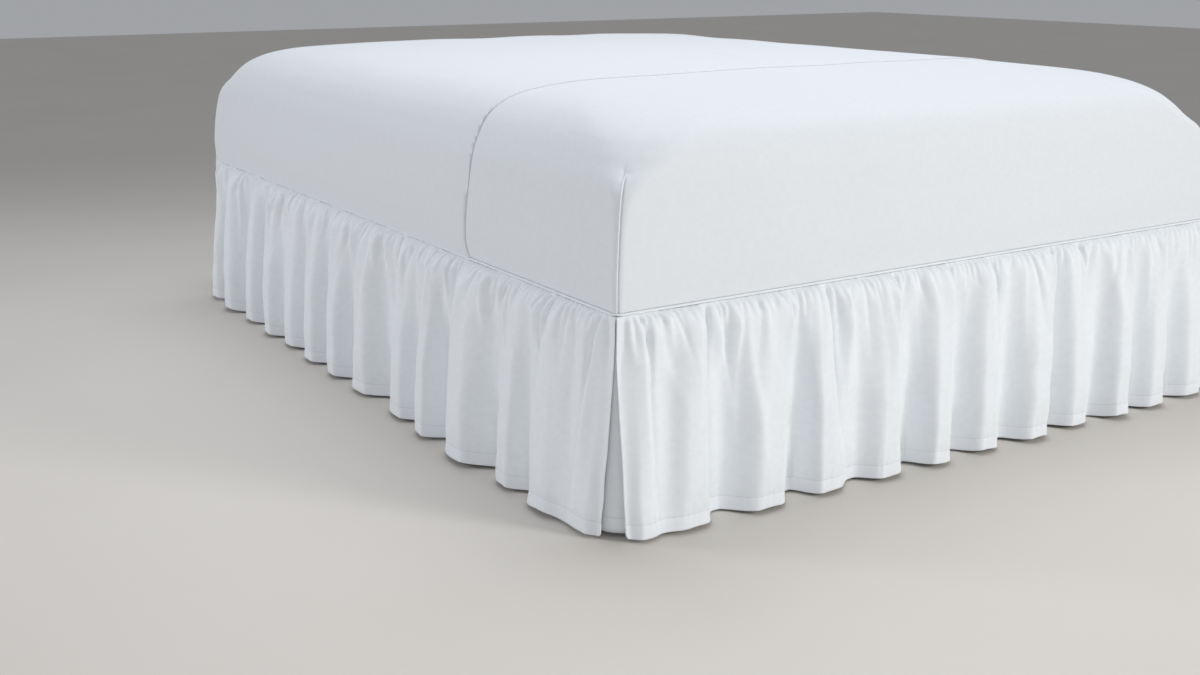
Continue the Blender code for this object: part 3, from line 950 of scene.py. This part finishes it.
stitching, given = start_tree(
    "stitching", Pitch="Float", Length="Float", Width="Float", Seed="Int", Thread="Material"
)
path = add(stitching, "GeometryNodeMeshToCurve", {"Mesh": given["Geometry"]})
holes = add(
    stitching,
    "GeometryNodeResampleCurve",
    {"Curve": path.outputs["Curve"], "Length": given["Pitch"]},
    mode="LENGTH",
)
bead = add(stitching, "GeometryNodeMeshUVSphere", {"Segments": 6, "Rings": 4, "Radius": 0.5})
tangent = add(stitching, "GeometryNodeInputTangent")
lie = add(
    stitching, "FunctionNodeAlignRotationToVector", {"Vector": tangent.outputs["Tangent"]}, axis="X"
)
tension = add(stitching, "FunctionNodeRandomValue", {2: 0.82, 3: 1.08, "Seed": given["Seed"]})
stitch_length = add(
    stitching, "ShaderNodeMath", {0: given["Length"], 1: tension.outputs[1]}, operation="MULTIPLY"
)
size = add(
    stitching,
    "ShaderNodeCombineXYZ",
    {"X": stitch_length.outputs[0], "Y": given["Width"], "Z": given["Width"]},
)
sewn = add(
    stitching,
    "GeometryNodeInstanceOnPoints",
    {
        "Points": holes.outputs["Curve"],
        "Instance": bead.outputs["Mesh"],
        "Rotation": lie.outputs["Rotation"],
        "Scale": size.outputs["Vector"],
    },
)
end_tree(stitching, sewn.outputs["Instances"], given["Thread"])
print("stitching tree:", len(stitching.nodes), "nodes")

# %% [markdown]
# A helper runs such a tree along a path of points, and keeps the result as a plain mesh. A
# modifier's inputs are set by their identifiers before the object is first evaluated.


# %% Sew the hems
def grow(name, route, tree, **values):
    """A plain mesh of what a node tree grows along a route of points."""
    mesh = bpy.data.meshes.new(name)
    mesh.from_pydata(route.tolist(), [(i, i + 1) for i in range(len(route) - 1)], [])
    grown = show(name, mesh)
    modifier = grown.modifiers.new("grow", "NODES")
    modifier.node_group = tree
    for item in tree.interface.items_tree:
        if item.in_out == "INPUT" and item.name in values:
            modifier[item.identifier] = values[item.name]
    depsgraph = bpy.context.evaluated_depsgraph_get()
    result = bpy.data.meshes.new_from_object(grown.evaluated_get(depsgraph))
    grown.modifiers.clear()
    grown.data = result
    return grown


STITCH_PITCH = 0.0042
STITCH_LENGTH = 0.0033
STITCH_WIDTH = 0.0008


def hem_line(points):
    """The points of a sheet's grid that lie on its hem's line of stitches."""
    heights = points[:, points.shape[1] // 2, 2]
    wanted = heights[-1] + HEM_HEIGHT
    return points[int(np.argmin(np.abs(heights - wanted)))]


for number, (owner, points) in enumerate(hemmed.items()):
    stitches = grow(
        f"{owner}_hem_stitches",
        hem_line(points),
        stitching,
        Pitch=STITCH_PITCH,
        Length=STITCH_LENGTH,
        Width=STITCH_WIDTH,
        Seed=number,
        Thread=thread,
    )
    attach(stitches, "root")
    print(f"{owner}: {len(stitches.data.polygons)} faces of stitches")

# %% [markdown]
# ## Piping
# Piping is a cord covered with a bias strip of the cotton, sewn into the seam so that the
# edge of the deck stands crisp. It follows a rule, a round profile along a path, so a second
# small tree makes it. The cover pulls unevenly over the cord, which the radius follows.

# %% Build the piping tree and lay the piping
PIPING_SIDES = 12
PIPING_STEP = 0.004
PIPING_UNEVEN = 0.12
PIPING_WANDER = 26.0

covering, given = start_tree("piping", Step="Float", Radius="Float", Uneven="Float", Cover="Material")
path = add(covering, "GeometryNodeMeshToCurve", {"Mesh": given["Geometry"]})
points = add(
    covering,
    "GeometryNodeResampleCurve",
    {"Curve": path.outputs["Curve"], "Length": given["Step"]},
    mode="LENGTH",
)
where = add(covering, "GeometryNodeInputPosition")
pull = add(
    covering, "ShaderNodeTexNoise", {"Vector": where.outputs["Position"], "Scale": PIPING_WANDER}
)
thinner = add(
    covering, "ShaderNodeMath", {0: pull.outputs["Fac"], 1: given["Uneven"]}, operation="MULTIPLY"
)
share = add(covering, "ShaderNodeMath", {0: 1.0, 1: thinner.outputs[0]}, operation="SUBTRACT")
round_profile = {"Resolution": PIPING_SIDES, "Radius": given["Radius"]}
ring = add(covering, "GeometryNodeCurvePrimitiveCircle", round_profile)
tube = add(
    covering,
    "GeometryNodeCurveToMesh",
    {
        "Curve": points.outputs["Curve"],
        "Profile Curve": ring.outputs["Curve"],
        "Scale": share.outputs[0],
        "Fill Caps": True,
    },
)
end_tree(covering, tube.outputs["Mesh"], given["Cover"])


def quarter_turn(centre, radius, start, steps=12):
    """Points of a quarter circle, anticlockwise from its start angle in degrees."""
    angles = [math.radians(start + 90 * step / steps) for step in range(steps + 1)]
    return [(centre[0] + radius * math.cos(a), centre[1] + radius * math.sin(a)) for a in angles]


PIPING_CORNER = UNDERLAY_SEAM_CORNER + PIPING_OUT
left, right, foot = LEFT_X - PIPING_OUT, RIGHT_X + PIPING_OUT, FOOT_Y - PIPING_OUT
route = [
    (left, HEAD_Y),
    *quarter_turn((left + PIPING_CORNER, foot + PIPING_CORNER), PIPING_CORNER, 180),
    *quarter_turn((right - PIPING_CORNER, foot + PIPING_CORNER), PIPING_CORNER, 270),
    (right, HEAD_Y),
]
piping = grow(
    "piping_cord",
    np.array([(x, y, PIPING_LEVEL) for x, y in route]),
    covering,
    Step=PIPING_STEP,
    Radius=PIPING_RADIUS,
    Uneven=PIPING_UNEVEN,
    Cover=deck_cotton,
)
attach(piping, "root")
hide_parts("piping")
print("piping:", len(piping.data.polygons), "faces")

# %% [markdown]
# ## Deck
# The deck is one flat panel between the box spring and the mattress, and only its edge shows.
# Its plain solid already has its shape, so it stays, and only gets its cotton.


# %% Dress the deck
def dress(node, material):
    """Gives a plain solid its finish."""
    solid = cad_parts[node]
    solid.data.materials.clear()
    solid.data.materials.append(material)
    return solid


deck = dress("deck", deck_cotton)
print("deck", round(BED_WIDTH, 3), "x", round(BED_LENGTH, 3), "m")

# %% [markdown]
# ## Mattress
# The mattress is a full, tight block with soft upper edges, in a fitted sheet. Its shape is
# a stack of rounded rectangles: near the bottom the walls bulge a little, and towards the
# top they lean in and round over into the crown. A smooth curve through a few given
# sections gives all the levels between them. Slow unevenness keeps the sheet from looking
# like moulded plastic.


# %% Shape the mattress
class Section(NamedTuple):
    """One level of the mattress: its height, its walls' distance in, its corners' radius."""

    height: float
    inset: float
    corner: float


MATTRESS_SECTIONS = (
    Section(0.000, -0.0028, 0.012),
    Section(0.003, -0.0036, 0.013),
    Section(0.022, -0.0045, 0.015),
    Section(0.055, -0.005, 0.017),
    Section(0.107, 0.000, 0.018),
    Section(0.150, 0.006, 0.022),
    Section(0.182, 0.011, 0.032),
    Section(0.203, 0.016, 0.056),
    Section(0.222, 0.023, 0.088),
    Section(0.245, 0.034, 0.112),
    Section(0.266, 0.050, 0.130),
    Section(0.283, 0.073, 0.148),
    Section(0.295, 0.100, 0.168),
    Section(0.304, 0.135, 0.192),
    Section(0.311, 0.190, 0.235),
    Section(0.316, 0.280, 0.300),
    Section(0.318, 0.400, 0.340),
    Section(0.3184, 0.550, 0.200),
    Section(0.3186, 0.700, 0.060),
)
STEPS_PER_SECTION = 6
mattress_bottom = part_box("mattress")[0].z


def smooth_sections(table, steps):
    """All levels through a table's rows, on a curve that passes through each row."""
    rows = np.array(table)
    rows = np.vstack([2 * rows[0] - rows[1], rows, 2 * rows[-1] - rows[-2]])
    levels = []
    for before, start, end, after in zip(rows, rows[1:], rows[2:], rows[3:]):
        for step in range(steps):
            t = step / steps
            levels.append(
                (
                    2 * start
                    + (end - before) * t
                    + (2 * before - 5 * start + 4 * end - after) * t**2
                    + (3 * start - before - 3 * end + after) * t**3
                )
                / 2
            )
    return np.array([*levels, rows[-2]])


levels = smooth_sections(MATTRESS_SECTIONS, STEPS_PER_SECTION)
print("mattress:", len(levels), "levels")

# %% [markdown]
# Each level is a ring of points: four arcs with straight runs between them. The points crowd
# at the middle of each corner, where the fitted sheet's seam needs them.

# %% Define a ring round the bed
CORNER_STEPS = 44
CORNER_CROWDING = 1.35
LONG_STEPS = 110
SHORT_STEPS = 80


def ring_round(inset, corner):
    """Points round the bed, anticlockwise from above, with their outward directions."""
    centres = (
        (RIGHT_X - inset - corner, FOOT_Y + inset + corner, -90),
        (RIGHT_X - inset - corner, HEAD_Y - inset - corner, 0),
        (LEFT_X + inset + corner, HEAD_Y - inset - corner, 90),
        (LEFT_X + inset + corner, FOOT_Y + inset + corner, 180),
    )
    points, outward = [], []
    for number, (x, y, start) in enumerate(centres):
        from_middle = np.linspace(-1, 1, CORNER_STEPS + 1)
        swing = np.sign(from_middle) * np.abs(from_middle) ** CORNER_CROWDING
        angles = np.radians(start + 45 + 45 * swing)
        arrows = np.stack([np.cos(angles), np.sin(angles)], axis=1)
        arc = np.array([x, y]) + corner * arrows
        points.append(arc)
        outward.append(arrows)
        next_x, next_y, next_start = centres[(number + 1) % 4]
        turn = math.radians(next_start)
        target = np.array([next_x, next_y]) + corner * np.array([math.cos(turn), math.sin(turn)])
        count = LONG_STEPS if number % 2 == 0 else SHORT_STEPS
        shares = np.linspace(0, 1, count + 1)[1:-1, None]
        points.append(arc[-1] + (target - arc[-1]) * shares)
        outward.append(np.repeat(arrows[-1:], count - 1, axis=0))
    return np.vstack(points), np.vstack(outward)


print("points in a ring:", len(ring_round(0.0, 0.1)[0]))

# %% [markdown]
# The fitted sheet is sewn up at each corner. Its seam is a low welt with the cloth drawn in
# beside it. Where the seam ends, below the crown, the spare cloth makes a small pucker. All
# of this is worked into the surface as a distance in or out along its own normal.


# %% Sew the fitted sheet's corners
SEAM_TOP = 0.216
SEAM_WIDTH = 0.0013
SEAM_OUT = 0.0010
SEAM_GROOVE = 0.0024
SEAM_GROOVE_IN = 0.0022
PUCKER_SPREAD = 0.009
PUCKER_IN = 0.0035
PUCKER_RAYS = 3
PUCKER_EVEN = 0.6
PUCKER_REACH_UP = 0.02
SEAM_FADE = 0.012


def corner_sewing(travel, height):
    """How far the seam and its pucker lift the sheet, at distances along and up from the corner."""
    below = np.clip((SEAM_TOP - height) / SEAM_FADE, 0, 1)
    welt = SEAM_OUT * bell(travel / SEAM_WIDTH)
    groove = SEAM_GROOVE_IN * bell((travel - SEAM_GROOVE) / SEAM_WIDTH)
    rise_above = height - SEAM_TOP
    distance = np.hypot(travel, rise_above)
    bearing = np.arctan2(rise_above, travel)
    rays = PUCKER_EVEN + (1 - PUCKER_EVEN) * np.cos(PUCKER_RAYS * bearing)
    pucker = PUCKER_IN * rays * bell(distance / PUCKER_SPREAD)
    return (welt - groove) * below - pucker * bell(rise_above / PUCKER_REACH_UP)


print("the corner seams end", round(SEAM_TOP * 1000), "mm above the mattress's bottom")

# %% [markdown]
# The rings, the unevenness and the sewing together are the surface of the dressed bed. Asking
# for it a cloth's thickness further out gives the surface of whatever lies on it.

# %% Define the bed's surface
SHEET_HELD = 0.03
SHEET_UNEVEN = 0.0010
SHEET_UNEVEN_PITCH = 0.22


def bed_surface(extra_out, sewn, seed):
    """The rings of the dressed mattress, pushed out by a cloth's thickness."""
    rng = np.random.default_rng(seed)
    rings = []
    for height, inset, corner in levels:
        flat, outward = ring_round(inset, corner)
        rings.append(np.column_stack([flat, np.full(len(flat), mattress_bottom + height)]))
    rings = np.array(rings)
    along_ring = np.roll(rings, -1, axis=1) - np.roll(rings, 1, axis=1)
    up_ring = np.gradient(rings, axis=0)
    normals = np.cross(along_ring, up_ring)
    normals /= np.linalg.norm(normals, axis=2, keepdims=True)
    lift = SHEET_UNEVEN * unevenness(rng, SHEET_UNEVEN_PITCH, *np.moveaxis(rings, -1, 0))
    heights = rings[..., 2] - mattress_bottom
    lift *= rise(heights, SHEET_HELD)
    if sewn:
        steps = np.linalg.norm(rings - np.roll(rings, 1, axis=1), axis=2)
        travelled = np.cumsum(steps, axis=1)
        past_long, past_short = CORNER_STEPS + LONG_STEPS, CORNER_STEPS + SHORT_STEPS
        for start in np.cumsum([0, past_long, past_short, past_long]):
            middle = start + CORNER_STEPS // 2
            lift += corner_sewing(travelled - travelled[:, middle : middle + 1], heights)
    return rings + normals * (lift + extra_out)[..., None]


print("the sheet wavers by", SHEET_UNEVEN * 1000, "mm")

# %% [markdown]
# A skin of quads through the rings makes the mesh. A closed one has a fan of triangles at
# each end.


# %% Cover the mattress with its fitted sheet
def skin(name, rings, material, closed):
    """A mesh through rings of points, with flat ends if it is closed."""
    count, around = rings.shape[0], rings.shape[1]
    start = (np.arange(count - 1)[:, None] * around + np.arange(around)).ravel()
    after = (np.arange(count - 1)[:, None] * around + (np.arange(around) + 1) % around).ravel()
    faces = np.stack([start, after, after + around, start + around], axis=1).tolist()
    points = rings.reshape(-1, 3).tolist()
    if closed:
        low, high = len(points), len(points) + 1
        points += [rings[0].mean(axis=0).tolist(), rings[-1].mean(axis=0).tolist()]
        top = (count - 1) * around
        faces += [(low, (i + 1) % around, i) for i in range(around)]
        faces += [(high, top + i, top + (i + 1) % around) for i in range(around)]
    mesh = bpy.data.meshes.new(name)
    mesh.from_pydata(points, [], faces)
    mesh.materials.append(material)
    mesh.shade_smooth()
    return show(name, mesh)


mattress = skin("mattress_fitted_sheet", bed_surface(0.0, True, 71), sheeting, True)
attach(mattress, "root")
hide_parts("mattress")
print("mattress:", len(mattress.data.polygons), "faces")

# %% [markdown]
# ## Top sheet
# A second sheet lies over the bed from half a metre above the foot to the head. It is the
# same surface a cloth's thickness further out, cut along a straight line, and thickened. Its
# edge lies close, so it draws only a fine line over the crown and down the side, and near
# the bottom it turns towards the foot where it was tucked.

# %% Lay the top sheet
TOP_SHEET_EDGE = FOOT_Y + 0.509
TOP_SHEET_OUT = 0.0020
TOP_SHEET_THICKNESS = 0.0010
CROWN_ABOVE = 0.6
EDGE_MARGIN = 0.001
EDGE_PRESS = 0.0008
EDGE_PRESS_REACH = 0.005
CURL = 0.014
CURL_HEIGHT = 0.030
CURL_REACH = 0.050

top_sheet = skin("top_sheet", bed_surface(TOP_SHEET_OUT, False, 71)[:-1], sheeting, False)
surface = bmesh.new()
surface.from_mesh(top_sheet.data)
everything = [*surface.verts, *surface.edges, *surface.faces]
bmesh.ops.bisect_plane(
    surface, geom=everything, plane_co=(0, TOP_SHEET_EDGE, 0), plane_no=(0, -1, 0), clear_outer=True
)
past_edge = TOP_SHEET_EDGE + EDGE_MARGIN
crown = [edge for edge in surface.edges if edge.is_boundary]
crown = [edge for edge in crown if min(v.co.z for v in edge.verts) > CROWN_ABOVE]
crown = [edge for edge in crown if min(v.co.y for v in edge.verts) > past_edge]
bmesh.ops.holes_fill(surface, edges=crown)
for vertex in surface.verts:
    from_edge = vertex.co.y - TOP_SHEET_EDGE
    up = vertex.co.z - mattress_bottom
    curl = CURL * max(0.0, 1 - up / CURL_HEIGHT) ** 2 * math.exp(-from_edge / CURL_REACH)
    press = EDGE_PRESS * math.exp(-from_edge / EDGE_PRESS_REACH)
    vertex.co -= vertex.normal * press
    vertex.co.y -= curl
surface.to_mesh(top_sheet.data)
surface.free()
cloth = top_sheet.modifiers.new("cloth", "SOLIDIFY")
cloth.thickness = TOP_SHEET_THICKNESS
cloth.offset = -1.0
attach(top_sheet, "root")
print("top sheet:", len(top_sheet.data.polygons), "faces")

# %% [markdown]
# ## Box spring
# The box spring is a timber frame with springs, covered tight in ticking. Almost all of it is
# behind the ruffles, and its head end shows between them. The cover is drawn tight over the
# frame's edges, and gives a little between them, so each side is drawn in by a few
# millimetres halfway up. Its top and bottom are flat.

# %% Cover the box spring
COVER_GIVE = 0.0030
COVER_GRID = 0.030
spring_low, spring_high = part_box("box_spring")
BASE_CORNER_RADIUS = 0.040
BASE_EDGE_RADIUS = 0.006
SIDE_STEPS = 7
CORNER_FACETS = 8


def base_ring(inset, level):
    """Points round the box spring at one level, with round upright corners."""
    corner = BASE_CORNER_RADIUS - inset
    right, left = spring_high.x - inset - corner, spring_low.x + inset + corner
    head, foot = spring_high.y - inset - corner, spring_low.y + inset + corner
    centres = ((right, foot), (right, head), (left, head), (left, foot))
    ring = []
    for centre, start in zip(centres, (-90, 0, 90, 180)):
        ring += quarter_turn(centre, corner, start, CORNER_FACETS)
    closed = np.array([*ring, ring[0]])
    whole = []
    for here, there in zip(closed, closed[1:]):
        steps = max(1, round(float(np.linalg.norm(there - here)) / COVER_GRID))
        whole += [here + (there - here) * step / steps for step in range(steps)]
    return np.column_stack([np.array(whole), np.full(len(whole), level)])


low, high = spring_low.z, spring_high.z
bends = [math.radians(angle) for angle in (0, 30, 60, 90)]
edge = [(BASE_EDGE_RADIUS * (1 - math.sin(a)), BASE_EDGE_RADIUS * (1 - math.cos(a))) for a in bends]
sections = [(inset, low + up) for inset, up in edge]
for step in range(1, SIDE_STEPS):
    share = step / SIDE_STEPS
    level = low + BASE_EDGE_RADIUS + (high - low - 2 * BASE_EDGE_RADIUS) * share
    sections.append((COVER_GIVE * math.sin(math.pi * share), level))
sections += [(inset, high - up) for inset, up in reversed(edge)]
base = skin("box_spring_cover", np.array([base_ring(*section) for section in sections]), ticking, True)
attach(base, "root")
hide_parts("box_spring")
print("box spring:", len(base.data.polygons), "faces")

# %% [markdown]
# ## Legs
# The turned legs keep their plain solids, which already have the real taper, and get their
# stain and lacquer.

# %% Finish the legs
legs = [dress(name, beech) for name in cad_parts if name.startswith("leg_")]
print("legs:", len(legs))

# %% [markdown]
# ## Floor and light
# The bed stands on a plain pale floor in soft studio light. The main light stands in front
# and to the right, so each fold at the foot is bright on one flank and shaded on the other.
# One beyond the left side does the same there. A third looks into the split corner, one
# hangs overhead, and a pale sky fills in from all around, so that pinches and valleys fall
# into soft shade.

# %% Set the stage
FLOOR_HALF = 14.0
FLOOR_DEEP = linear("#CFCAC3")
FLOOR_LIGHT = linear("#D6D2CC")
FLOOR_CLOUDS = 1.4
floor_finish = mottled("painted studio floor, matt", 0.75, FLOOR_DEEP, FLOOR_LIGHT, FLOOR_CLOUDS, 3.0)
floor_mesh = bpy.data.meshes.new("floor")
corners = [(-FLOOR_HALF, -FLOOR_HALF, 0), (FLOOR_HALF, -FLOOR_HALF, 0)]
corners += [(FLOOR_HALF, FLOOR_HALF, 0), (-FLOOR_HALF, FLOOR_HALF, 0)]
floor_mesh.from_pydata(corners, [], [(0, 1, 2, 3)])
floor_mesh.materials.append(floor_finish)
floor = show("floor", floor_mesh)

LIGHT_SPREAD = math.radians(105)
LIGHT_AIM = Vector((LEFT_X / 2, FOOT_Y, 0.35))
# Each light's name, place, size, power and colour.
LIGHTS = (
    ("key", (2.4, -5.2, 2.3), 1.2, 47.0, "#FFFDF9"),
    ("fill", (-3.2, -4.0, 1.5), 1.4, 9.0, "#FFFDF9"),
    ("side", (-4.7, 3.1, 2.0), 1.2, 28.0, "#FAFBFF"),
    ("top", (0.6, 0.6, 4.0), 3.0, 35.0, "#F8FAFF"),
)


def soft_light(name, place, size, power, colour):
    """A square soft light that faces the foot's left half, with a grid against stray light."""
    data = bpy.data.lights.new(name, "AREA")
    data.energy = power
    data.size = size
    data.spread = LIGHT_SPREAD
    data.color = linear(colour)[:3]
    light = show(name, data)
    light.location = place
    aim = LIGHT_AIM - Vector(place)
    light.rotation_euler = aim.to_track_quat("-Z", "Y").to_euler()


for light in LIGHTS:
    soft_light(*light)
bpy.context.scene.view_settings.view_transform = "Standard"
world = bpy.data.worlds.new("studio")
world.use_nodes = True
sky = world.node_tree.nodes["Background"]
sky.inputs["Color"].default_value = linear("#F2F5FA")
sky.inputs["Strength"].default_value = 0.40
bpy.context.scene.world = world
print("lights:", ", ".join(light[0] for light in LIGHTS))
